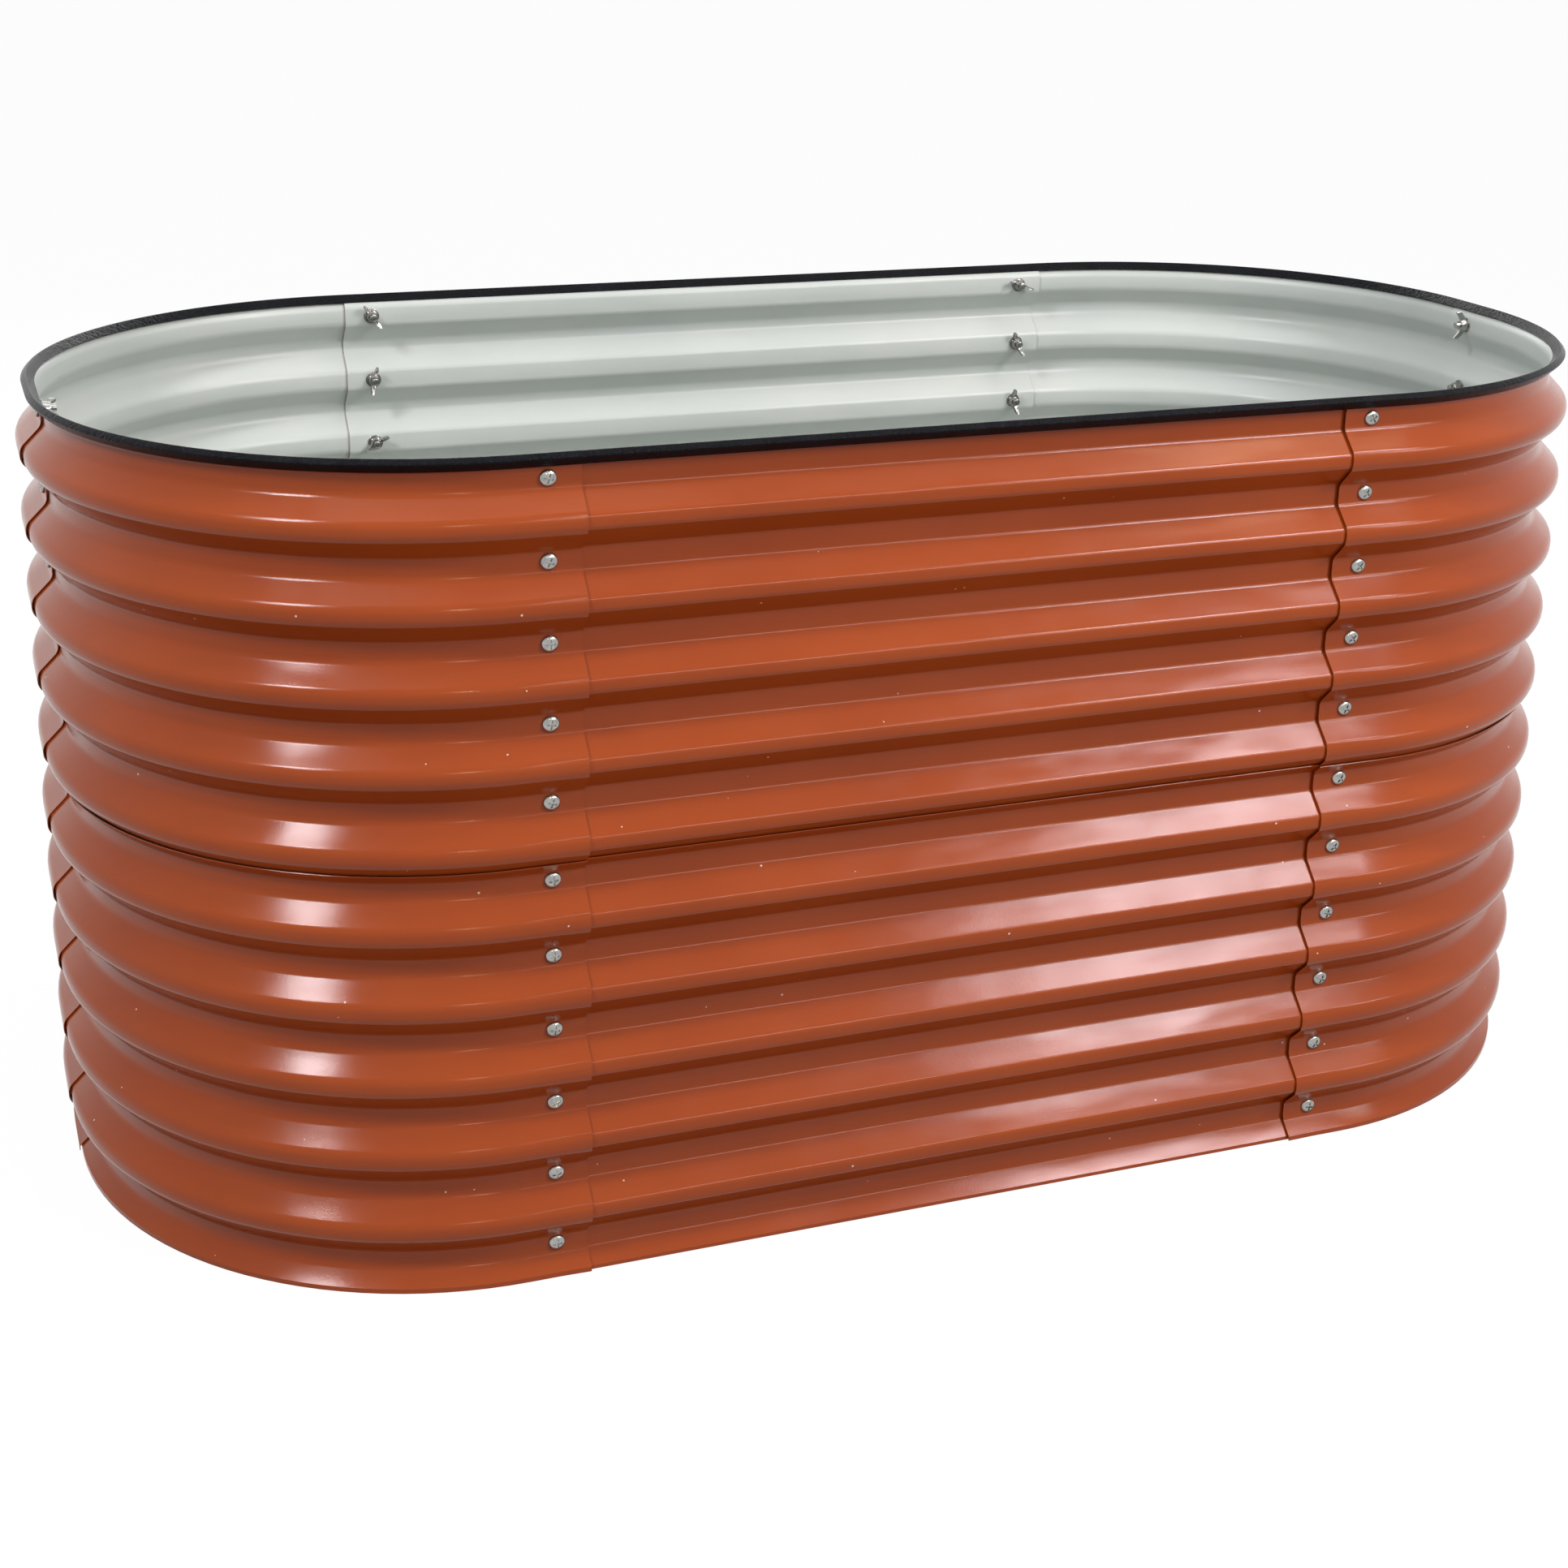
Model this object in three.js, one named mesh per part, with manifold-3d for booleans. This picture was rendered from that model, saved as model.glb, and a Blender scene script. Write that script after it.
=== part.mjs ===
// Raised garden bed: a two-tier wall of corrugated steel panels with rounded corners.
// Each tier is two straight panels and four quarter-round corner panels, lapped at six seams and
// bolted through every valley. Both tiers have the same panels: the lower one laps outside the
// upper one and shares a bolt row with it. A rubber channel covers the top edge.
// Millimetres, +Z up, origin at the middle of the footprint on the ground, front towards -Y.

import * as THREE from 'three';
import { mergeVertices } from 'three/addons/utils/BufferGeometryUtils.js';
import Module from 'manifold-3d';

// ---------- driving dimensions ----------

// Footprint over the crests
const bedLength = 1220;
const bedWidth = 610;

// Sheet metal
const sheetThickness = 0.6;
const layerGap = 0.3; // clearance between lapped sheets

// Corrugation, measured up the wall and out from the valleys
const corrugationPitch = 55;
const corrugationDepth = 15.5;
const valleyFlat = 16; // height of the flat land that a bolt head seats on
const crestFlat = 8;

// Tiers
const tierRows = 6; // bolt rows of one tier; the two tiers share one of them
const footDrop = 21; // sheet below a tier's lowest row
const lipLength = 11.4; // sheet above a tier's highest land, flared like a flank

// Seams
const lapReach = 22; // flat sheet beyond the bolt line on each side of a seam
const cornerFacets = 5; // flats round a corner

// Top edge
const trimHem = 4.5; // bare lip below the trim
const trimWall = 1.3;
const trimCap = 1.5; // rubber above the sheet's edge
const trimChamfer = 0.9;
const trimButtGap = 0.6; // joint between the trim's two ends, at the left end

// Fasteners: a truss-head bolt with its wing nut
const boltRadius = 2.9;
const boltSides = 4;
const headRadius = 6;
const headHeight = 3.2;
const headSides = 6;
const holeClearance = 0.3;
const seatGap = 0.3; // between a fastener and the sheet, and between the lip and the trim
const nutHeight = 6;
const nutBaseRadius = 6.2;
const nutTopRadius = 4.8;
const wingSpan = 25;
const wingTipNear = 7; // distances of a wing tip's edges from the nut's seat
const wingTipFar = 12;
const wingTipThickness = 1.8;
const turnStep = THREE.MathUtils.degToRad(37); // from one fastener to the next, as hand-tightened

// ---------- derived places ----------

const rowCount = 2 * tierRows - 1;
const sharedRow = tierRows - 1;
const rowHeight = (row) => footDrop + row * corrugationPitch;
const halfValley = valleyFlat / 2;
const halfCrest = crestFlat / 2;
const flankTilt = Math.atan2(corrugationDepth, corrugationPitch / 2 - halfValley - halfCrest);

// Layers count outwards from the innermost sheet. At the shared row a seam clamps one sheet of
// each tier under two more, so the panel lapped outside another lies two layers further out.
const layerStep = sheetThickness + layerGap;
const lapLayers = 2;
const tiers = [
  { name: 'lower', firstRow: 0, layer: 1 },
  { name: 'upper', firstRow: sharedRow, layer: 0 },
];
const innerFace = (layer) => layer * layerStep;
const outerFace = (layer) => layer * layerStep + sheetThickness;
const sideOuterLayer = 1 + lapLayers;
const endOuterLayer = sideOuterLayer + lapLayers;

// The valleys' innermost faces, and the corners of their plan.
const halfWidth = bedWidth / 2 - corrugationDepth - outerFace(sideOuterLayer);
const halfLength = bedLength / 2 - corrugationDepth - outerFace(endOuterLayer);
const cornerRadius = halfWidth - lapReach;
const cornerX = halfLength - cornerRadius;
const seamX = cornerX - lapReach;

// ---------- sheet profile ----------

// A profile point holds its height z and its reach r out from the innermost valleys.
const point = (z, r) => ({ z, r });

function tierProfile(firstRow) {
  const foot = rowHeight(firstRow) - footDrop;
  const points = [point(foot, (footDrop - halfValley) * Math.tan(flankTilt))];
  for (let row = firstRow; row < firstRow + tierRows; row += 1) {
    const valley = rowHeight(row);
    if (row > firstRow) {
      const crest = valley - corrugationPitch / 2;
      points.push(point(crest - halfCrest, corrugationDepth), point(crest + halfCrest, corrugationDepth));
    }
    points.push(point(valley - halfValley, 0), point(valley + halfValley, 0));
  }
  const land = points.at(-1).z;
  points.push(point(land + lipLength * Math.cos(flankTilt), lipLength * Math.sin(flankTilt)));
  return points;
}

// Moves a profile out along its normals, so that lapped sheets keep one gap on every slope.
// The foot stays level, as it is cut to stand on the ground.
function offsetProfile(profile, distance) {
  const normals = [];
  for (let i = 0; i + 1 < profile.length; i += 1) {
    const dz = profile[i + 1].z - profile[i].z;
    const dr = profile[i + 1].r - profile[i].r;
    const length = Math.hypot(dz, dr);
    normals.push({ z: -dr / length, r: dz / length });
  }
  return profile.map((p, i) => {
    if (i === 0) {
      return point(p.z, p.r + distance / normals[0].r);
    }
    const before = normals[i - 1];
    const after = normals[Math.min(i, normals.length - 1)];
    const mitre = distance / (1 + before.z * after.z + before.r * after.r);
    return point(p.z + (before.z + after.z) * mitre, p.r + (before.r + after.r) * mitre);
  });
}

// ---------- plan ----------

// A station is a place along the wall, at reach 0, with its direction out of the bed. Its ramp
// grows from 0 on a side to 1 on an end.
const station = (x, y, outX, outY, ramp) => ({ x, y, outX, outY, ramp });
const place = (at, p) => [at.x + at.outX * p.r, at.y + at.outY * p.r, p.z];
const sideStation = (x, sideY) => station(x, sideY * halfWidth, 0, sideY, 0);
const endStation = (endX, y) => station(endX * halfLength, y, endX, 0, 1);

function arcStations(endX, sideY) {
  const stations = [];
  for (let facet = 0; facet <= cornerFacets; facet += 1) {
    const ramp = facet / cornerFacets;
    const angle = (Math.PI / 2) * ramp;
    const outX = endX * Math.sin(angle);
    const outY = sideY * Math.cos(angle);
    const x = endX * cornerX + outX * cornerRadius;
    const y = sideY * lapReach + outY * cornerRadius;
    stations.push(station(x, y, outX, outY, ramp));
  }
  return stations;
}

// Stations run anticlockwise seen from above, so that sheets face outwards.
const anticlockwise = (stations, endX, sideY) => (endX * sideY < 0 ? stations : stations.reverse());

function cornerStations(endX, sideY) {
  const sideTab = sideStation(endX * (seamX - lapReach), sideY);
  const endTab = endStation(endX, -sideY * lapReach);
  return anticlockwise([sideTab, ...arcStations(endX, sideY), endTab], endX, sideY);
}

function straightStations(sideY) {
  const end = seamX + lapReach;
  return [sideStation(sideY * end, sideY), sideStation(-sideY * end, sideY)];
}

// ---------- solids ----------

const wasm = await Module();
wasm.setup();

function toSolid(geometry) {
  const bare = geometry.clone();
  bare.deleteAttribute('normal');
  bare.deleteAttribute('uv');
  const merged = mergeVertices(bare, 1e-4);
  return new wasm.Manifold(
    new wasm.Mesh({
      numProp: 3,
      vertProperties: new Float32Array(merged.attributes.position.array),
      triVerts: new Uint32Array(merged.index.array),
    }),
  );
}

function toGeometry(solid) {
  const mesh = solid.getMesh();
  const geometry = new THREE.BufferGeometry();
  geometry.setAttribute('position', new THREE.BufferAttribute(new Float32Array(mesh.vertProperties), 3));
  geometry.setIndex(new THREE.BufferAttribute(new Uint32Array(mesh.triVerts), 1));
  return geometry;
}

function indexed(vertices, triangles) {
  const geometry = new THREE.BufferGeometry();
  geometry.setAttribute('position', new THREE.Float32BufferAttribute(vertices.flat(), 3));
  geometry.setIndex(triangles.flat());
  return geometry;
}

// Sweeps closed sections, one for each station, into a solid with flat ends.
function sweep(sections, capTriangles) {
  const count = sections[0].length;
  const triangles = [];
  for (let s = 0; s + 1 < sections.length; s += 1) {
    for (let i = 0; i < count; i += 1) {
      const a = s * count + i;
      const b = s * count + ((i + 1) % count);
      triangles.push([a, b, a + count], [b, b + count, a + count]);
    }
  }
  const last = (sections.length - 1) * count;
  for (const [a, b, c] of capTriangles) {
    triangles.push([a, b, c], [last + a, last + c, last + b]);
  }
  return indexed(sections.flat(), triangles);
}

// ---------- fasteners ----------

const seams = [
  { name: 'front_left', x: -seamX, y: -halfWidth, outX: 0, outY: -1, end: false },
  { name: 'front_right', x: seamX, y: -halfWidth, outX: 0, outY: -1, end: false },
  { name: 'back_left', x: -seamX, y: halfWidth, outX: 0, outY: 1, end: false },
  { name: 'back_right', x: seamX, y: halfWidth, outX: 0, outY: 1, end: false },
  { name: 'left_end', x: -halfLength, y: 0, outX: -1, outY: 0, end: true },
  { name: 'right_end', x: halfLength, y: 0, outX: 1, outY: 0, end: true },
];

// The faces that a fastener clamps, as reaches from the innermost valleys.
function clamped(seam, row) {
  const moved = seam.end ? lapLayers : 0;
  const layers = tiers.filter((t) => row >= t.firstRow && row < t.firstRow + tierRows).map((t) => t.layer);
  return {
    inner: innerFace(Math.min(...layers) + moved),
    outer: outerFace(Math.max(...layers) + lapLayers + moved),
  };
}

// Turns a shape made along +Y to point out of a seam, at one bolt row.
function outOfSeam(geometry, seam, row, reach, turn) {
  const outwards = new THREE.Quaternion().setFromUnitVectors(
    new THREE.Vector3(0, 1, 0),
    new THREE.Vector3(seam.outX, seam.outY, 0),
  );
  geometry.rotateY(turn);
  geometry.applyQuaternion(outwards);
  geometry.translate(seam.x + seam.outX * reach, seam.y + seam.outY * reach, rowHeight(row));
  return geometry;
}

const ring = (sides, radius, y) =>
  Array.from({ length: sides }, (_, i) => {
    const angle = (2 * Math.PI * i) / sides;
    return [radius * Math.cos(angle), y, -radius * Math.sin(angle)];
  });

// Triangles between two rings that start at the same angle, the low one under or inside the
// high one where they face down, and outside it where they face up.
function band(low, lowSides, high, highSides) {
  const triangles = [];
  let i = 0;
  let j = 0;
  while (i < lowSides || j < highSides) {
    const a = low + (i % lowSides);
    const b = high + (j % highSides);
    if (j >= highSides || (i < lowSides && (i + 1) / lowSides <= (j + 1) / highSides)) {
      triangles.push([a, low + ((i + 1) % lowSides), b]);
      i += 1;
    } else {
      triangles.push([a, high + ((j + 1) % highSides), b]);
      j += 1;
    }
  }
  return triangles;
}

// The four corners of a wing's tip, seen from outside the nut.
function wingTip(angle, seat) {
  const out = new THREE.Vector3(Math.cos(angle), 0, -Math.sin(angle));
  const along = new THREE.Vector3(-Math.sin(angle), 0, -Math.cos(angle));
  const corners = [[-1, wingTipFar], [1, wingTipFar], [1, wingTipNear], [-1, wingTipNear]];
  return corners.map(([side, distance]) => {
    const corner = out.clone().multiplyScalar(wingSpan / 2);
    corner.addScaledVector(along, (side * wingTipThickness) / 2);
    return [corner.x, seat - distance, corner.z];
  });
}

// A bolt with its wing nut, the head's seat at y = 0 and the nut's at -grip.
function boltAndNut(grip) {
  const vertices = [
    [0, headHeight, 0],
    ...ring(headSides, headRadius, 0),
    ...ring(boltSides, boltRadius, 0),
    ...ring(boltSides, boltRadius, -grip),
    ...ring(headSides, nutBaseRadius, -grip),
    ...ring(headSides, nutTopRadius, -grip - nutHeight),
  ];
  const head = 1;
  const neck = head + headSides;
  const shank = neck + boltSides;
  const nut = shank + boltSides;
  const nutEnd = nut + headSides;
  const triangles = [
    ...band(neck, boltSides, head, headSides),
    ...band(shank, boltSides, neck, boltSides),
    ...band(nut, headSides, shank, boltSides),
  ];
  for (let i = 0; i < headSides; i += 1) {
    const next = (i + 1) % headSides;
    triangles.push([0, head + i, head + next]);
    const face = [nutEnd + i, nutEnd + next, nut + next, nut + i];
    if (i % (headSides / 2) > 0) {
      triangles.push([face[0], face[1], face[2]], [face[0], face[2], face[3]]);
      continue;
    }
    const tip = vertices.length;
    vertices.push(...wingTip((2 * Math.PI * (i + 0.5)) / headSides, -grip));
    for (let k = 0; k < 4; k += 1) {
      const n = (k + 1) % 4;
      triangles.push([face[k], face[n], tip + n], [face[k], tip + n, tip + k]);
    }
    triangles.push([tip, tip + 1, tip + 2], [tip, tip + 2, tip + 3]);
  }
  for (let i = 1; i + 1 < headSides; i += 1) {
    triangles.push([nutEnd, nutEnd + i + 1, nutEnd + i]);
  }
  return indexed(vertices, triangles);
}

function fastener(seam, row) {
  const { inner, outer } = clamped(seam, row);
  const turn = turnStep * (row + seams.indexOf(seam) * rowCount);
  return outOfSeam(boltAndNut(outer - inner + 2 * seatGap), seam, row, outer + seatGap, turn);
}

function boltHole(seam, row) {
  const radius = (boltRadius + holeClearance) / Math.cos(Math.PI / boltSides);
  const depth = outerFace(endOuterLayer);
  const cutter = new THREE.CylinderGeometry(radius, radius, 2 * depth, boltSides);
  return outOfSeam(cutter, seam, row, depth / 2, 0);
}

// ---------- panels ----------

// A sheet's section goes up its inner face and back down its outer face.
function sheet(profile, stations, layerAt) {
  const sections = stations.map((at) => {
    const inner = offsetProfile(profile, innerFace(layerAt(at)));
    const outer = offsetProfile(profile, outerFace(layerAt(at)));
    return [...inner, ...outer.reverse()].map((p) => place(at, p));
  });
  const last = profile.length * 2 - 1;
  const cap = [];
  for (let i = 0; i + 1 < profile.length; i += 1) {
    cap.push([i, last - i, i + 1], [i + 1, last - i, last - i - 1]);
  }
  return sweep(sections, cap);
}

// Drills a panel for its bolts, or joins it with a fastener that it carries as one piece.
function bolted(geometry, tier, seamNames, carries) {
  let solid = toSolid(geometry);
  for (const seam of seams.filter((s) => seamNames.includes(s.name))) {
    for (let row = tier.firstRow; row < tier.firstRow + tierRows; row += 1) {
      if (carries(seam, row)) {
        solid = solid.add(toSolid(fastener(seam, row)));
      } else {
        solid = solid.subtract(toSolid(boltHole(seam, row)));
      }
    }
  }
  return toGeometry(solid);
}

// ---------- edge trim ----------

// The channel's section in the lip's own directions: along the lip and out from it.
function trimSection(shift) {
  const slotIn = shift - seatGap;
  const slotOut = shift + outerFace(lapLayers) + seatGap;
  const slotTop = lipLength + seatGap;
  const top = slotTop + trimCap;
  const faceIn = slotIn - trimWall;
  const faceOut = slotOut + trimWall;
  const corners = [
    [trimHem, faceIn],
    [top - trimChamfer, faceIn],
    [top, faceIn + trimChamfer],
    [top, faceOut - trimChamfer],
    [top - trimChamfer, faceOut],
    [trimHem, faceOut],
    [trimHem, slotOut],
    [slotTop, slotOut],
    [slotTop, slotIn],
    [trimHem, slotIn],
  ];
  const foot = rowHeight(rowCount - 1) + halfValley;
  const up = Math.cos(flankTilt);
  const out = Math.sin(flankTilt);
  return corners.map(([along, away]) => point(foot + along * up - away * out, along * out + away * up));
}

const trimCapTriangles = [
  [0, 9, 1],
  [1, 9, 8],
  [1, 8, 2],
  [2, 8, 7],
  [2, 7, 3],
  [3, 7, 4],
  [4, 7, 6],
  [4, 6, 5],
];

// The channel follows the sheets out to the ends, from one butted end round to the other.
function edgeTrim() {
  const corners = [[-1, -1], [1, -1], [1, 1], [-1, 1]];
  const stations = [
    endStation(-1, -trimButtGap / 2),
    ...corners.flatMap(([endX, sideY]) => anticlockwise(arcStations(endX, sideY), endX, sideY)),
    endStation(-1, trimButtGap / 2),
  ];
  const sections = stations.map((at) =>
    trimSection(at.ramp * innerFace(lapLayers)).map((p) => place(at, p)),
  );
  return sweep(sections, trimCapTriangles);
}

// ---------- assembly ----------

const finish = (color, roughness, metalness) =>
  new THREE.MeshStandardMaterial({ color, roughness, metalness, flatShading: true });
const paint = finish(0xa54b28, 0.38, 0.1);
const rubber = finish(0x14181d, 0.6, 0);
const nickel = finish(0xc9c9c6, 0.22, 1);

const gardenBed = new THREE.Group();

function add(name, geometry, material) {
  const mesh = new THREE.Mesh(geometry, material);
  mesh.name = name;
  gardenBed.add(mesh);
}

const sides = [
  { name: 'front', y: -1 },
  { name: 'back', y: 1 },
];
const ends = [
  { name: 'left', x: -1 },
  { name: 'right', x: 1 },
];

for (const tier of tiers) {
  const profile = tierProfile(tier.firstRow);
  for (const side of sides) {
    const straight = sheet(profile, straightStations(side.y), () => tier.layer);
    const sideSeams = ends.map((end) => `${side.name}_${end.name}`);
    add(`${tier.name}_${side.name}_panel`, bolted(straight, tier, sideSeams, () => false), paint);

    // The back corners lap outside the front ones at the ends and carry the end fasteners.
    const outside = side.name === 'back';
    const layerAt = (at) => tier.layer + lapLayers + (outside ? lapLayers * at.ramp : 0);
    const carries = (seam, row) => seam.end && outside && (tier.name === 'lower' || row > sharedRow);
    for (const end of ends) {
      const corner = sheet(profile, cornerStations(end.x, side.y), layerAt);
      const cornerSeams = [`${side.name}_${end.name}`, `${end.name}_end`];
      const name = `${tier.name}_${side.name}_${end.name}_corner`;
      add(name, bolted(corner, tier, cornerSeams, carries), paint);
    }
  }
}

add('edge_trim', edgeTrim(), rubber);

for (const seam of seams.filter((s) => !s.end)) {
  for (let row = 0; row < rowCount; row += 1) {
    add(`${seam.name}_bolt_${String(row + 1).padStart(2, '0')}`, fastener(seam, row), nickel);
  }
}

export default gardenBed;
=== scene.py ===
import math
import bmesh
import bpy
from mathutils import Matrix, Vector


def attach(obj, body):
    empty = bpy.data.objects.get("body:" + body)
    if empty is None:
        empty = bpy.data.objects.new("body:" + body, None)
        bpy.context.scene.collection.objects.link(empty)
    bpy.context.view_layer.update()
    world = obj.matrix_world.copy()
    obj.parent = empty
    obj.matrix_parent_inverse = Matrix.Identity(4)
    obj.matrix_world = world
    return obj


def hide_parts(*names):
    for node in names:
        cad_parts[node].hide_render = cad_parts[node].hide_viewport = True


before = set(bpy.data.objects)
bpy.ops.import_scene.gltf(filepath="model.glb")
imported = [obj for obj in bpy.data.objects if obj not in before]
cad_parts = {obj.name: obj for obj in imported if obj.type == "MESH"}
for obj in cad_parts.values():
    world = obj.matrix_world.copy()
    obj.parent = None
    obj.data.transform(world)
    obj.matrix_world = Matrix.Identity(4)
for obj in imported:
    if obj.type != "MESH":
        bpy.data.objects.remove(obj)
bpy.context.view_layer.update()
scene = bpy.context.scene
print("frame loaded")

mm = 0.001
same = 0.01 * mm                   # nearer than this is the same place
quarter = math.pi / 2
slant = math.sqrt(0.5)             # rise, and reach, of a length along a 45 degree slope
mitre = math.tan(math.radians(22.5))   # a 45 degree bend moves along by this share of its offset

# the bed's own sizes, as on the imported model
bed = {
    "halfWidth": 286.2 * mm,       # innermost valley faces, sides
    "halfLength": 589.4 * mm,      # the same, ends
    "cornerX": 325.2 * mm,         # centres of the corner curves
    "cornerY": 22.0 * mm,
    "seamX": 303.2 * mm,
    "lap": 22.0 * mm,              # from a seam's bolts to the edge of either sheet
    "pitch": 55.0 * mm,
    "firstRow": 21.0 * mm,
    "rows": 11,
    "sharedRow": 5,                # the row that both tiers are bolted through
    "layerStep": 0.9 * mm,
    "lapLayers": 2,                # the corners lie this many layers outside the straight panels
    "endShift": 1.8 * mm,          # the back corners lap outside at the ends
    "lipReach": 20.6 * mm,         # furthest that anything stands out from the valleys
}
endStretch = 1 + bed["endShift"] / (bed["halfLength"] - bed["cornerX"] + bed["lipReach"])


def startFresh():
    if bpy.context.mode != "OBJECT":
        bpy.ops.object.mode_set(mode="OBJECT")
    bpy.ops.object.select_all(action="DESELECT")


def choose(obj):
    startFresh()
    obj.select_set(True)
    bpy.context.view_layer.objects.active = obj


def editMode():
    bpy.ops.object.mode_set(mode="EDIT")
    bpy.ops.mesh.select_all(action="SELECT")


def objectMode():
    bpy.ops.object.mode_set(mode="OBJECT")


def pick(kind, test):
    # selects only the vertices, edges or faces that pass the test
    obj = bpy.context.edit_object
    bpy.ops.mesh.select_mode(type=kind)
    bpy.ops.mesh.select_all(action="DESELECT")
    work = bmesh.from_edit_mesh(obj.data)
    items = {"VERT": work.verts, "EDGE": work.edges, "FACE": work.faces}[kind]
    for item in items:
        if test(item):
            item.select = True
    work.select_flush_mode()
    bmesh.update_edit_mesh(obj.data)


def push(x, y, z):
    bpy.ops.mesh.extrude_region_move(TRANSFORM_OT_translate={"value": (x, y, z)})


def applyModifier(obj, kind, **settings):
    bpy.context.view_layer.objects.active = obj
    mod = obj.modifiers.new(kind.lower(), kind)
    for key, value in settings.items():
        setattr(mod, key, value)
    bpy.ops.object.modifier_apply(modifier=mod.name)


def applyPlace():
    bpy.ops.object.transform_apply(location=True, rotation=True, scale=True)


def joinTo(main, other):
    choose(main)
    other.select_set(True)
    bpy.ops.object.join()


def duplicateOf(obj, name):
    choose(obj)
    bpy.ops.object.duplicate()
    copy = bpy.context.object
    copy.name = name
    return copy


def mirrored(obj, name, x, y):
    # a copy on the other side: turned over, then its faces turned back out
    copy = duplicateOf(obj, name)
    editMode()
    bpy.ops.transform.resize(value=(x, y, 1), center_override=(0, 0, 0))
    if x * y < 0:
        bpy.ops.mesh.flip_normals()
    objectMode()
    return copy


def smooth(obj, degrees):
    choose(obj)
    bpy.ops.object.shade_smooth_by_angle(angle=math.radians(degrees))


def outline(name, points):
    # one vertex, extruded from point to point
    startFresh()
    bpy.ops.mesh.primitive_plane_add(size=10 * mm, location=(0, 0, 0))
    obj = bpy.context.object
    obj.name = name
    editMode()
    bpy.ops.mesh.merge(type="CENTER")
    bpy.ops.transform.translate(value=points[0])
    for before, after in zip(points, points[1:]):
        step = [b - a for a, b in zip(before, after)]
        bpy.ops.mesh.extrude_vertices_move(TRANSFORM_OT_translate={"value": step})
    return obj


def newMaterial(name):
    mat = bpy.data.materials.new(name)
    mat.use_nodes = True
    return mat, mat.node_tree, mat.node_tree.nodes["Principled BSDF"]


def node(tree, kind, **inputs):
    made = tree.nodes.new(kind)
    for key, value in inputs.items():
        made.inputs[key.replace("_", " ")].default_value = value
    return made


def calculate(tree, operation, first, second):
    # the second may be a plain number
    made = tree.nodes.new("ShaderNodeMath")
    made.operation = operation
    tree.links.new(first, made.inputs[0])
    if isinstance(second, float):
        made.inputs[1].default_value = second
    else:
        tree.links.new(second, made.inputs[1])
    return made.outputs[0]


def objectCoords(tree, stretch=(1, 1, 1)):
    coords = tree.nodes.new("ShaderNodeTexCoord")
    mapping = node(tree, "ShaderNodeMapping", Scale=stretch)
    tree.links.new(coords.outputs["Object"], mapping.inputs["Vector"])
    return mapping.outputs["Vector"]


def noise(tree, vector, scale, detail=2.0, breakup=0.5):
    made = node(tree, "ShaderNodeTexNoise", Scale=scale, Detail=detail, Roughness=breakup)
    tree.links.new(vector, made.inputs["Vector"])
    return made.outputs["Fac"]


def ramp(tree, value, stops, dark, light):
    made = tree.nodes.new("ShaderNodeValToRGB")
    for element, position, color in zip(made.color_ramp.elements, stops, (dark, light)):
        element.position = position
        element.color = (*color, 1)
    tree.links.new(value, made.inputs["Fac"])
    return made.outputs["Color"]


def bump(tree, height, strength, distance, after=None):
    made = node(tree, "ShaderNodeBump", Strength=strength, Distance=distance)
    tree.links.new(height, made.inputs["Height"])
    if after is not None:
        tree.links.new(after, made.inputs["Normal"])
    return made.outputs["Normal"]


paint = {
    "outside": (0.372, 0.065, 0.0085),
    "outsideDeep": (0.332, 0.055, 0.0070),
    "outsideShine": 0.24,
    "outsideRoughness": 0.16,
    "inside": (0.605, 0.650, 0.615),
    "insideDeep": (0.550, 0.600, 0.570),
    "insideShine": 0.4,
    "insideRoughness": 0.34,
    "shadeScale": 9.0,             # slow change of shade over a panel
    "stops": (0.3, 0.7),
    "glossScale": 26.0,            # patches of more and of less gloss
    "glossier": 0.03,
    "duller": 0.04,
    "peelScale": 900.0,            # fine orange peel
    "peelStrength": 0.10,
    "peelHeight": 0.4 * mm,
    "waveScale": 3.0,              # the sheet isn't quite flat
    "waveStretch": (2.2, 2.2, 9.0),
    "waveStrength": 0.35,
    "waveHeight": 4.0 * mm,
    "speck": (0.78, 0.60, 0.50),   # pale specks here and there, outside only
    "speckScale": 95.0,
    "speckSize": 0.075,
    "speckPatchScale": 60.0,
    "speckPatchShare": 0.66,       # the higher, the fewer patches with specks
}


def speckled(tree, at, color):
    dots = node(tree, "ShaderNodeTexVoronoi", Scale=paint["speckScale"], Randomness=1.0)
    tree.links.new(at, dots.inputs["Vector"])
    patches = noise(tree, at, paint["speckPatchScale"], detail=1.0)
    isDot = calculate(tree, "LESS_THAN", dots.outputs["Distance"], paint["speckSize"])
    isPatch = calculate(tree, "GREATER_THAN", patches, paint["speckPatchShare"])
    mix = node(tree, "ShaderNodeMixRGB", Color2=(*paint["speck"], 1))
    tree.links.new(calculate(tree, "MULTIPLY", isDot, isPatch), mix.inputs["Fac"])
    tree.links.new(color, mix.inputs["Color1"])
    return mix.outputs["Color"]


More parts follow.
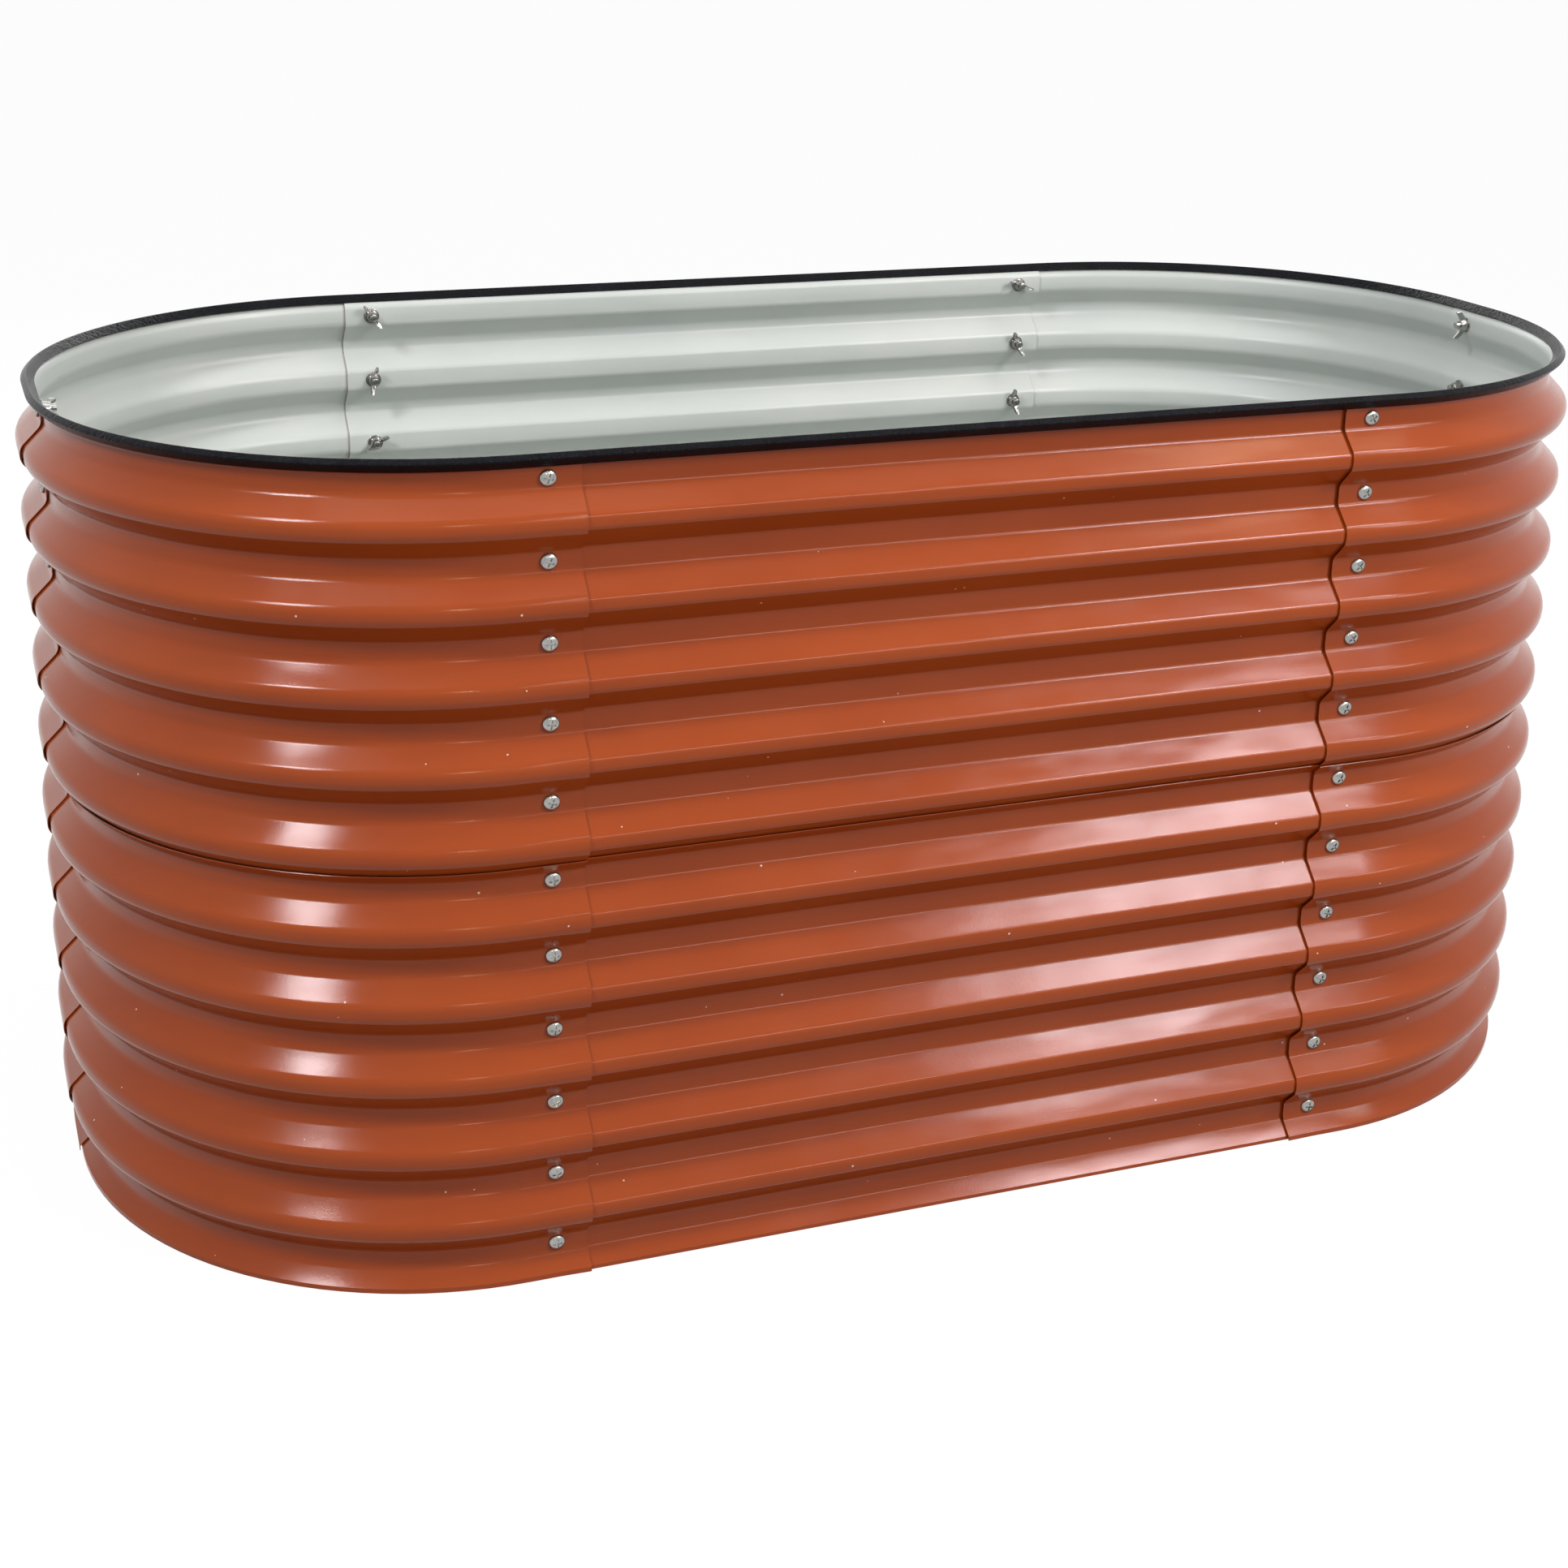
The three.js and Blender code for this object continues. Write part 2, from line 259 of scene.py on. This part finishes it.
def paintMaterial(name, side, hasSpecks):
    mat, tree, shader = newMaterial(name)
    at = objectCoords(tree)
    shade = noise(tree, at, paint["shadeScale"], detail=4.0)
    color = ramp(tree, shade, paint["stops"], paint[side + "Deep"], paint[side])
    if hasSpecks:
        color = speckled(tree, at, color)
    tree.links.new(color, shader.inputs["Base Color"])
    roughness = paint[side + "Roughness"]
    gloss = node(tree, "ShaderNodeMapRange", From_Min=paint["stops"][0], From_Max=paint["stops"][1],
                 To_Min=roughness - paint["glossier"], To_Max=roughness + paint["duller"])
    tree.links.new(noise(tree, at, paint["glossScale"], detail=3.0), gloss.inputs["Value"])
    tree.links.new(gloss.outputs["Result"], shader.inputs["Roughness"])
    waves = noise(tree, objectCoords(tree, paint["waveStretch"]), paint["waveScale"])
    slow = bump(tree, waves, paint["waveStrength"], paint["waveHeight"])
    peel = noise(tree, at, paint["peelScale"], breakup=0.6)
    fine = bump(tree, peel, paint["peelStrength"], paint["peelHeight"], slow)
    tree.links.new(fine, shader.inputs["Normal"])
    shader.inputs["Specular IOR Level"].default_value = paint[side + "Shine"]
    return mat


rubberLook = {
    "dark": (0.002, 0.0025, 0.004),
    "light": (0.005, 0.006, 0.009),
    "shadeScale": 40.0,
    "stops": (0.35, 0.7),
    "beadScale": 330.0,            # beaded surface that sparkles
    "beadStrength": 0.8,
    "beadHeight": 1.6 * mm,
    "shine": 0.06,
    "roughness": 0.14,
}


def rubberMaterial():
    mat, tree, shader = newMaterial("blackRubber")
    at = objectCoords(tree)
    shade = noise(tree, at, rubberLook["shadeScale"], detail=3.0)
    color = ramp(tree, shade, rubberLook["stops"], rubberLook["dark"], rubberLook["light"])
    tree.links.new(color, shader.inputs["Base Color"])
    beads = noise(tree, at, rubberLook["beadScale"], detail=3.0, breakup=0.7)
    tree.links.new(bump(tree, beads, rubberLook["beadStrength"], rubberLook["beadHeight"]),
                   shader.inputs["Normal"])
    shader.inputs["Roughness"].default_value = rubberLook["roughness"]
    shader.inputs["Specular IOR Level"].default_value = rubberLook["shine"]
    return mat


nickelLook = {
    "dark": (0.30, 0.295, 0.28),
    "light": (0.42, 0.415, 0.395),
    "shadeScale": 300.0,
    "stops": (0.3, 0.7),
    "grainScale": 1400.0,
    "grainStrength": 0.12,
    "grainHeight": 0.4 * mm,
    "roughness": 0.17,
}


def nickelMaterial():
    mat, tree, shader = newMaterial("nickelPlate")
    at = objectCoords(tree)
    shade = noise(tree, at, nickelLook["shadeScale"], detail=3.0)
    color = ramp(tree, shade, nickelLook["stops"], nickelLook["dark"], nickelLook["light"])
    tree.links.new(color, shader.inputs["Base Color"])
    grain = noise(tree, at, nickelLook["grainScale"])
    tree.links.new(bump(tree, grain, nickelLook["grainStrength"], nickelLook["grainHeight"]),
                   shader.inputs["Normal"])
    shader.inputs["Metallic"].default_value = 1.0
    shader.inputs["Roughness"].default_value = nickelLook["roughness"]
    return mat


outsidePaint = paintMaterial("terracottaPaint", "outside", True)
insidePaint = paintMaterial("sagePaint", "inside", False)
rubber = rubberMaterial()
nickel = nickelMaterial()
print("materials made")


panel = {
    "sheet": 0.6 * mm,
    "depth": 15.5 * mm,
    "land": 8.0 * mm,              # half the flat that the bolts seat on
    "crest": 4.0 * mm,             # half the flat of a crest
    "skirt": 2.2 * mm,             # upright foot of the lower tier
    "lipLength": 11.4 * mm,        # along the slope above a tier's last row
    "lipFlare": 1.3 * mm,          # the lower tier's top edge stands off the upper tier
    "edgeLift": 0.7 * mm,          # the corners' side edges stand off in the valleys
    "crestBand": 1.0 * mm,         # but not on what lies as near as this to a crest
    "tierRows": 6,
    "straightSteps": 12,
    "cornerSteps": 30,
    "smoothAngle": 32,
    "normalWeight": 90,
}
# how far from a bend its rounding starts, and in how many facets; rolled corners are rounder
straightBends = {"crest": 2.0 * mm, "crestFacets": 3, "valley": 2.0 * mm, "valleyFacets": 3}
cornerBends = {"crest": 3.8 * mm, "crestFacets": 5, "valley": 3.0 * mm, "valleyFacets": 3}


def rowHeight(row):
    return bed["firstRow"] + row * bed["pitch"]


def wallProfile(tier, layer):
    # heights and reaches of a sheet's outer face, from its foot up to its lip
    off = layer * bed["layerStep"] + panel["sheet"]
    land, crest, depth = panel["land"], panel["crest"], panel["depth"]
    bend = off * mitre
    first = tier["firstRow"]
    last = first + panel["tierRows"] - 1
    foot = rowHeight(first) - bed["firstRow"]
    footReach = bed["firstRow"] - land
    if tier["lower"]:
        upright = footReach - panel["skirt"] + off
        points = [(foot, upright), (foot + panel["skirt"] + bend, upright)]
    else:
        points = [(foot, footReach + off / slant)]
    for row in range(first, last + 1):
        z = rowHeight(row)
        if row > first:
            top = z - bed["pitch"] / 2
            points += [(top - crest - bend, depth + off), (top + crest + bend, depth + off)]
        points += [(z - land + bend, off), (z + land - bend, off)]
    lip = panel["lipLength"] * slant
    flare = panel["lipFlare"] if tier["lower"] else 0
    points.append((rowHeight(last) + land + lip - off * slant, lip + off * slant + flare))
    return points


def wallOutline(name, tier, layer, x, bends):
    heights = wallProfile(tier, layer)
    obj = outline(name, [(x, -bed["halfWidth"] - reach, z) for z, reach in heights])
    ends = (heights[0][0], heights[-1][0])
    brow = -bed["halfWidth"] - panel["depth"]
    pick("VERT", lambda v: v.co.y < brow and min(abs(v.co.z - z) for z in ends) > same)
    bpy.ops.mesh.bevel(offset=bends["crest"], segments=bends["crestFacets"], affect="VERTICES")
    valley = -bed["halfWidth"] - layer * bed["layerStep"] - panel["sheet"] - same
    pick("VERT", lambda v: v.co.y > valley and min(abs(v.co.z - z) for z in ends) > same)
    bpy.ops.mesh.bevel(offset=bends["valley"], segments=bends["valleyFacets"], affect="VERTICES")
    bpy.ops.mesh.select_all(action="SELECT")
    return obj


def thicken(obj):
    # the painted face keeps its place and the sheet grows inwards; the inner face has its own paint
    bpy.ops.mesh.select_all(action="SELECT")
    bpy.ops.mesh.normals_make_consistent(inside=False)
    work = bmesh.from_edit_mesh(obj.data)
    foremost = min(work.faces, key=lambda f: f.calc_center_median().y)
    if foremost.normal.y > 0:
        bpy.ops.mesh.flip_normals()
    objectMode()
    obj.data.materials.append(outsidePaint)
    obj.data.materials.append(insidePaint)
    applyModifier(obj, "SOLIDIFY", thickness=panel["sheet"], offset=-1, use_even_offset=True,
                  use_quality_normals=True, material_offset=1, material_offset_rim=0)


def straightPanel(name, tier):
    end = bed["seamX"] + bed["lap"]
    obj = wallOutline(name, tier, tier["layer"], -end, straightBends)
    for step in range(panel["straightSteps"]):
        push(2 * end / panel["straightSteps"], 0, 0)
    thicken(obj)
    applyModifier(obj, "WEIGHTED_NORMAL", keep_sharp=True, weight=panel["normalWeight"])
    smooth(obj, panel["smoothAngle"])
    return obj


def cornerPanel(name, tier):
    # front right: straight along the side, round the corner, and past the end's middle
    layer = tier["layer"] + bed["lapLayers"]
    start = bed["seamX"] - bed["lap"]
    obj = wallOutline(name, tier, layer, start, cornerBends)
    push(bed["lap"], 0, 0)         # to the side's bolts
    push(bed["lap"], 0, 0)         # to the start of the curve
    crestLine = -bed["halfWidth"] - panel["depth"] - layer * bed["layerStep"] + panel["crestBand"]
    top = rowHeight(tier["firstRow"] + panel["tierRows"] - 1) + panel["land"]
    pick("VERT", lambda v: v.co.x < start + same and v.co.y > crestLine and v.co.z < top)
    bpy.ops.transform.translate(value=(0, -panel["edgeLift"], 0))
    pick("VERT", lambda v: v.co.x > bed["cornerX"] - same)
    bpy.ops.mesh.spin(steps=panel["cornerSteps"], angle=-quarter, axis=(0, 0, 1),
                      center=(bed["cornerX"], -bed["cornerY"], 0))
    push(0, bed["lap"], 0)         # to the end's bolts
    push(0, bed["lap"], 0)         # to the sheet's other edge
    thicken(obj)
    smooth(obj, panel["smoothAngle"])
    return obj


tiers = [
    {"name": "lower", "firstRow": 0, "layer": 1, "lower": True},
    {"name": "upper", "firstRow": bed["sharedRow"], "layer": 0, "lower": False},
]
sheets = {}
for tier in tiers:
    low = tier["name"]
    front = straightPanel(low + "FrontPanel", tier)
    back = mirrored(front, low + "BackPanel", 1, -1)
    right = cornerPanel(low + "FrontRightCorner", tier)
    backRight = mirrored(right, low + "BackRightCorner", 1, -1)
    editMode()
    bpy.ops.transform.resize(value=(endStretch, 1, 1), center_override=(bed["cornerX"], 0, 0))
    objectMode()
    sheets[low + "_front_panel"] = front
    sheets[low + "_back_panel"] = back
    sheets[low + "_front_right_corner"] = right
    sheets[low + "_back_right_corner"] = backRight
    sheets[low + "_front_left_corner"] = mirrored(right, low + "FrontLeftCorner", -1, 1)
    sheets[low + "_back_left_corner"] = mirrored(backRight, low + "BackLeftCorner", -1, 1)

for nodeName, piece in sheets.items():
    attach(piece, "root")
    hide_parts(nodeName)
print("panels made", len(sheets))


trim = {
    "wall": 1.3 * mm,
    "cap": 1.2 * mm,
    "hem": 4.5 * mm,               # along the sheets' lip, from its foot to the trim's lower edge
    "clear": 0.3 * mm,
    "joint": 0.3 * mm,             # half the gap between the trim's two ends
    "rounding": 1.1 * mm,
    "roundFacets": 4,
    "straightSteps": 10,
    "cornerSteps": 40,
    "smoothAngle": 40,
}


def trimOutline():
    inner = -trim["clear"]
    outer = bed["lapLayers"] * bed["layerStep"] + panel["sheet"] + trim["clear"]
    slotTop = panel["lipLength"] + trim["clear"]
    top = slotTop + trim["cap"]
    faces = [
        (trim["hem"], inner - trim["wall"]), (top, inner - trim["wall"]),
        (top, outer + trim["wall"]), (trim["hem"], outer + trim["wall"]),
        (trim["hem"], outer), (slotTop, outer), (slotTop, inner), (trim["hem"], inner),
    ]
    foot = rowHeight(bed["rows"] - 1) + panel["land"]
    places = []
    for along, away in faces:
        z = foot + (along - away) * slant
        reach = (along + away) * slant
        places.append((-bed["halfLength"] - reach, -trim["joint"], z))
    return places


def isAt(vertex, places):
    return min((vertex.co - Vector(place)).length for place in places) < same


def trimCorner(x, y):
    bpy.ops.mesh.spin(steps=trim["cornerSteps"], angle=-quarter, axis=(0, 0, 1), center=(x, y, 0))


def trimSide(x):
    for step in range(trim["straightSteps"]):
        push(x / trim["straightSteps"], 0, 0)


def rimTrim():
    # once round, from the left end over the front and the right end to the back
    places = trimOutline()
    obj = outline("rubberTrim", places)
    pick("VERT", lambda v: isAt(v, (places[0], places[-1])))
    bpy.ops.mesh.edge_face_add()
    pick("VERT", lambda v: isAt(v, places[1:3]))
    bpy.ops.mesh.bevel(offset=trim["rounding"], segments=trim["roundFacets"], affect="VERTICES")
    bpy.ops.mesh.select_all(action="SELECT")
    across, along = bed["cornerX"], bed["cornerY"]
    push(0, -(along - trim["joint"]), 0)
    trimCorner(-across, -along)
    trimSide(2 * across)
    trimCorner(across, -along)
    push(0, 2 * along, 0)
    trimCorner(across, along)
    trimSide(-2 * across)
    trimCorner(-across, along)
    push(0, -(along - trim["joint"]), 0)
    bpy.ops.mesh.select_all(action="SELECT")
    bpy.ops.mesh.remove_doubles(threshold=same)
    pick("EDGE", lambda e: e.is_boundary)
    bpy.ops.mesh.fill(use_beauty=True)
    bpy.ops.mesh.select_all(action="SELECT")
    bpy.ops.mesh.normals_make_consistent(inside=False)
    for side in (-1, 1):
        pick("VERT", lambda v: v.co.x * side > across + same)
        bpy.ops.transform.resize(value=(endStretch, 1, 1), center_override=(side * across, 0, 0))
    objectMode()
    obj.data.materials.append(rubber)
    smooth(obj, trim["smoothAngle"])
    return obj


trimPiece = rimTrim()
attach(trimPiece, "root")
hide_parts("edge_trim")
print("trim made")


bolt = {
    "head": 5.9 * mm,
    "sides": 24,
    "rise": 3.1 * mm,
    "edge": 0.7 * mm,              # upright rim of the head, under its dome
    "domeRings": (0.93, 0.80, 0.62, 0.40, 0.16),
    "slotLong": 6.4 * mm,
    "slotWide": 1.35 * mm,
    "slotDeep": 1.6 * mm,
    "shank": 2.9 * mm,
    "shankSides": 16,
    "length": 13.0 * mm,
    "overlap": 0.2 * mm,           # the shank starts this far inside the head
    "chamfer": 0.5 * mm,
    "chamferFacets": 2,
    "flat": 0.99,                  # how squarely the head's front face looks forwards
    "smoothAngle": 35,
}


def boltMaster():
    # domed head towards -Y with a cross recess, its seat at y = 0
    startFresh()
    bpy.ops.mesh.primitive_cylinder_add(vertices=bolt["sides"], radius=bolt["head"], depth=bolt["edge"],
                                        location=(0, -bolt["edge"] / 2, 0), rotation=(quarter, 0, 0))
    head = bpy.context.object
    head.name = "boltMaster"
    applyPlace()
    editMode()
    front = -bolt["edge"]
    for share in bolt["domeRings"]:
        pick("FACE", lambda f: f.normal.y < -bolt["flat"] and abs(f.calc_center_median().y - front) < same)
        rise = (bolt["rise"] - bolt["edge"]) * math.sqrt(1 - share * share) + bolt["edge"]
        rim = max(v.co.xz.length for v in bmesh.from_edit_mesh(head.data).verts if v.select)
        shrink = share * bolt["head"] / rim
        push(0, -rise - front, 0)
        bpy.ops.transform.resize(value=(shrink, 1, shrink), center_override=(0, -rise, 0))
        front = -rise
    objectMode()
    for turn in (0, quarter):
        bpy.ops.mesh.primitive_cube_add(size=1, location=(0, -bolt["rise"], 0), rotation=(0, turn, 0),
                                        scale=(bolt["slotLong"], 2 * bolt["slotDeep"], bolt["slotWide"]))
        cutter = bpy.context.object
        choose(head)
        applyModifier(head, "BOOLEAN", operation="DIFFERENCE", object=cutter, solver="EXACT")
        bpy.data.objects.remove(cutter)
    halfLength = bolt["length"] / 2
    bpy.ops.mesh.primitive_cylinder_add(vertices=bolt["shankSides"], radius=bolt["shank"],
                                        depth=bolt["length"], location=(0, halfLength - bolt["overlap"], 0),
                                        rotation=(quarter, 0, 0))
    shank = bpy.context.object
    editMode()
    pick("EDGE", lambda e: all(abs(abs(v.co.z) - halfLength) < same for v in e.verts))
    bpy.ops.mesh.bevel(offset=bolt["chamfer"], segments=bolt["chamferFacets"], affect="EDGES")
    objectMode()
    joinTo(head, shank)
    applyPlace()
    head.data.materials.append(nickel)
    smooth(head, bolt["smoothAngle"])
    return head


nut = {
    "washer": 6.6 * mm,
    "washerTall": 0.9 * mm,
    "washerSides": 24,
    "washerEdge": 0.25 * mm,
    "base": 5.3 * mm,
    "top": 4.3 * mm,
    "tall": 5.6 * mm,
    "sides": 12,
    "edge": 0.35 * mm,
    "edgeFacets": 2,
    "edgeAngle": 40,
    "wingInset": 0.5 * mm,
    "wingFacing": 0.95,            # how squarely a side looks along X for a wing to grow from it
    "smoothAngle": 50,
}
# a wing grows in three steps: how far out, how far up, and its thickness against the step before
wingSteps = [(3.2 * mm, 1.6 * mm, 0.75), (2.6 * mm, 2.6 * mm, 0.9), (1.6 * mm, 1.0 * mm, 0.72)]


def nutMaster():
    # washer at y = 0, nut and wings towards +Y
    startFresh()
    bpy.ops.mesh.primitive_cylinder_add(vertices=nut["washerSides"], radius=nut["washer"],
                                        depth=nut["washerTall"], location=(0, nut["washerTall"] / 2, 0),
                                        rotation=(quarter, 0, 0))
    washer = bpy.context.object
    applyModifier(washer, "BEVEL", width=nut["washerEdge"], segments=nut["edgeFacets"], limit_method="ANGLE")
    middle = nut["washerTall"] + nut["tall"] / 2
    bpy.ops.mesh.primitive_cone_add(vertices=nut["sides"], radius1=nut["base"], radius2=nut["top"],
                                    depth=nut["tall"], location=(0, middle, 0), rotation=(-quarter, 0, 0))
    body = bpy.context.object
    body.name = "nutMaster"
    applyPlace()
    editMode()
    for side in (-1, 1):
        pick("FACE", lambda f: f.normal.x * side > nut["wingFacing"])
        bpy.ops.mesh.inset(thickness=nut["wingInset"])
        for reach, up, thickness in wingSteps:
            push(side * reach, up, 0)
            bpy.ops.transform.resize(value=(1, 1, thickness))
    objectMode()
    applyModifier(body, "BEVEL", width=nut["edge"], segments=nut["edgeFacets"], limit_method="ANGLE",
                  angle_limit=math.radians(nut["edgeAngle"]))
    applyModifier(body, "SUBSURF", levels=1, render_levels=1)
    joinTo(body, washer)
    body.data.materials.append(nickel)
    smooth(body, nut["smoothAngle"])
    return body


boltModel = boltMaster()
nutModel = nutMaster()

# where each seam's bolts stand, which way is out, and the turn that takes the front there
seams = [
    {"name": "front_left", "at": (-bed["seamX"], -bed["halfWidth"]), "out": (0, -1), "turn": 0},
    {"name": "front_right", "at": (bed["seamX"], -bed["halfWidth"]), "out": (0, -1), "turn": 0},
    {"name": "back_left", "at": (-bed["seamX"], bed["halfWidth"]), "out": (0, 1), "turn": math.pi},
    {"name": "back_right", "at": (bed["seamX"], bed["halfWidth"]), "out": (0, 1), "turn": math.pi},
    {"name": "left_end", "at": (-bed["halfLength"], 0), "out": (-1, 0), "turn": -quarter},
    {"name": "right_end", "at": (bed["halfLength"], 0), "out": (1, 0), "turn": quarter},
]
# each fastener is turned by some degrees from the one before, and the bolt's head more than the nut
fastener = {"turn": 37, "wobble": 11, "wobbleEvery": 3, "headTurn": 1.7}


def placed(model, name, seam, row, reach, turn):
    copy = duplicateOf(model, name)
    at = [start + out * reach for start, out in zip(seam["at"], seam["out"])]
    place = Matrix.Translation((*at, rowHeight(row)))
    copy.matrix_world = place @ Matrix.Rotation(seam["turn"], 4, "Z") @ Matrix.Rotation(turn, 4, "Y")
    applyPlace()
    return copy


count = 0
for seam in seams:
    atEnd = seam["out"][0] != 0
    shift = bed["lapLayers"] if atEnd else 0
    side = seam["name"].split("_")[0]
    for row in range(bed["rows"]):
        here = [tier for tier in tiers if 0 <= row - tier["firstRow"] < panel["tierRows"]]
        layers = [tier["layer"] for tier in here]
        outer = (max(layers) + bed["lapLayers"] + shift) * bed["layerStep"] + panel["sheet"]
        inner = (min(layers) + shift) * bed["layerStep"]
        label = "%s%02d" % (seam["name"].title().replace("_", ""), row + 1)
        wobble = fastener["wobble"] * (count % fastener["wobbleEvery"])
        turn = math.radians(fastener["turn"] * count + wobble)
        pieces = [placed(boltModel, "bolt" + label, seam, row, outer, turn * fastener["headTurn"]),
                  placed(nutModel, "wingNut" + label, seam, row, inner, turn)]
        if atEnd:
            nodeName = here[0]["name"] + "_back_" + side + "_corner"
        else:
            nodeName = "%s_bolt_%02d" % (seam["name"], row + 1)
        for piece in pieces:
            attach(piece, "root")
            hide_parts(nodeName)
        count += 1
bpy.data.objects.remove(boltModel)
bpy.data.objects.remove(nutModel)
print("fasteners made", count)


studio = {
    "white": (1.0, 1.0, 1.0),
    "floorSize": 60.0,
    "floorGlow": 1.13,
    "floorBounce": (0.34, 0.34, 0.35),
    "floorShare": 0.85,            # the rest of what the camera sees is the floor with its shadow
    "worldShare": 1.0,
    "worldColor": (0.98, 0.99, 1.0),
    "worldLight": 0.26,
    "aim": (0.0, 0.0, 0.3),        # what the lamps point at
}


def whiteToCamera(tree, lit, white, share, output):
    # the camera, reflections and glass see a share of white, and all other light sees what is lit
    path = tree.nodes.new("ShaderNodeLightPath")
    seen = calculate(tree, "MAXIMUM", path.outputs["Is Camera Ray"], path.outputs["Is Glossy Ray"])
    seen = calculate(tree, "MAXIMUM", seen, path.outputs["Is Transmission Ray"])
    mix = tree.nodes.new("ShaderNodeMixShader")
    tree.links.new(calculate(tree, "MULTIPLY", seen, share), mix.inputs[0])
    tree.links.new(lit, mix.inputs[1])
    tree.links.new(white, mix.inputs[2])
    tree.links.new(mix.outputs[0], output)


startFresh()
bpy.ops.mesh.primitive_plane_add(size=studio["floorSize"], location=(0, 0, 0))
floor = bpy.context.object
floor.name = "floor"
floorMaterial, tree, shader = newMaterial("floorWhite")
tree.nodes.remove(shader)
diffuse = node(tree, "ShaderNodeBsdfDiffuse", Color=(*studio["floorBounce"], 1))
glow = node(tree, "ShaderNodeEmission", Color=(*studio["white"], 1), Strength=studio["floorGlow"])
whiteToCamera(tree, diffuse.outputs[0], glow.outputs[0], studio["floorShare"],
              tree.nodes["Material Output"].inputs["Surface"])
floor.data.materials.append(floorMaterial)

world = scene.world or bpy.data.worlds.new("studio")
scene.world = world
world.use_nodes = True
tree = world.node_tree
tree.nodes.clear()
output = tree.nodes.new("ShaderNodeOutputWorld")
ambient = node(tree, "ShaderNodeBackground", Color=(*studio["worldColor"], 1), Strength=studio["worldLight"])
backdrop = node(tree, "ShaderNodeBackground", Color=(*studio["white"], 1), Strength=1.0)
whiteToCamera(tree, ambient.outputs[0], backdrop.outputs[0], studio["worldShare"], output.inputs["Surface"])

lamps = [
    {"name": "overhead", "at": (0.0, -0.3, 3.2), "size": (3.4, 2.2),
     "watts": 32, "color": (1.0, 0.99, 0.97)},
    {"name": "leftWindow", "at": (-1.9, -1.05, 2.3), "size": (0.5, 0.5),
     "watts": 33, "color": (1.0, 0.95, 1.0)},
    {"name": "rightWindow", "at": (1.335, -1.593, 1.95), "size": (0.62, 0.36),
     "watts": 22, "color": (1.0, 0.93, 0.99)},
    {"name": "rightStrip", "at": (1.5, -2.5, 1.8), "size": (2.4, 0.30),
     "watts": 24, "color": (1.0, 0.97, 0.95)},
    {"name": "warmSide", "at": (1.6, -1.0, 2.66), "size": (0.5, 0.3),
     "watts": 6, "color": (1.0, 0.74, 0.52)},
    {"name": "backFill", "at": (0.5, 2.9, 1.6), "size": (2.2, 0.8),
     "watts": 20, "color": (1.0, 0.99, 0.98)},
    {"name": "warmFront", "at": (-0.46, -3.0, 1.77), "size": (0.20, 0.10),
     "watts": 4, "color": (1.0, 0.84, 0.58)},
]
for lamp in lamps:
    bpy.ops.object.light_add(type="AREA", location=lamp["at"])
    light = bpy.context.object
    light.name = lamp["name"]
    light.data.shape = "RECTANGLE"
    light.data.size, light.data.size_y = lamp["size"]
    light.data.energy = lamp["watts"]
    light.data.color = lamp["color"]
    aim = Vector(studio["aim"]) - Vector(lamp["at"])
    light.rotation_euler = aim.to_track_quat("-Z", "Y").to_euler()

view = {
    "at": (-0.6759, -1.6912, 0.9434),
    "right": (0.940976, -0.338152, 0.014756),
    "forward": (0.327074, 0.897203, -0.296731),
    "focal": 2916.5,               # in pixels of a picture this wide and this high
    "picture": 1932,
    "centre": (927.6, 736.0),
    "sensor": 36,
}
bpy.ops.object.camera_add(location=view["at"])
camera = bpy.context.object
right = Vector(view["right"]).normalized()
back = -Vector(view["forward"]).normalized()
up = back.cross(right).normalized()
camera.rotation_euler = Matrix((right, up, back)).transposed().to_euler()
camera.data.sensor_width = view["sensor"]
camera.data.lens = view["focal"] / view["picture"] * view["sensor"]
camera.data.shift_x = (view["picture"] / 2 - view["centre"][0]) / view["picture"]
camera.data.shift_y = (view["centre"][1] - view["picture"] / 2) / view["picture"]
scene.camera = camera
scene.view_settings.view_transform = "Standard"
print("stage set")
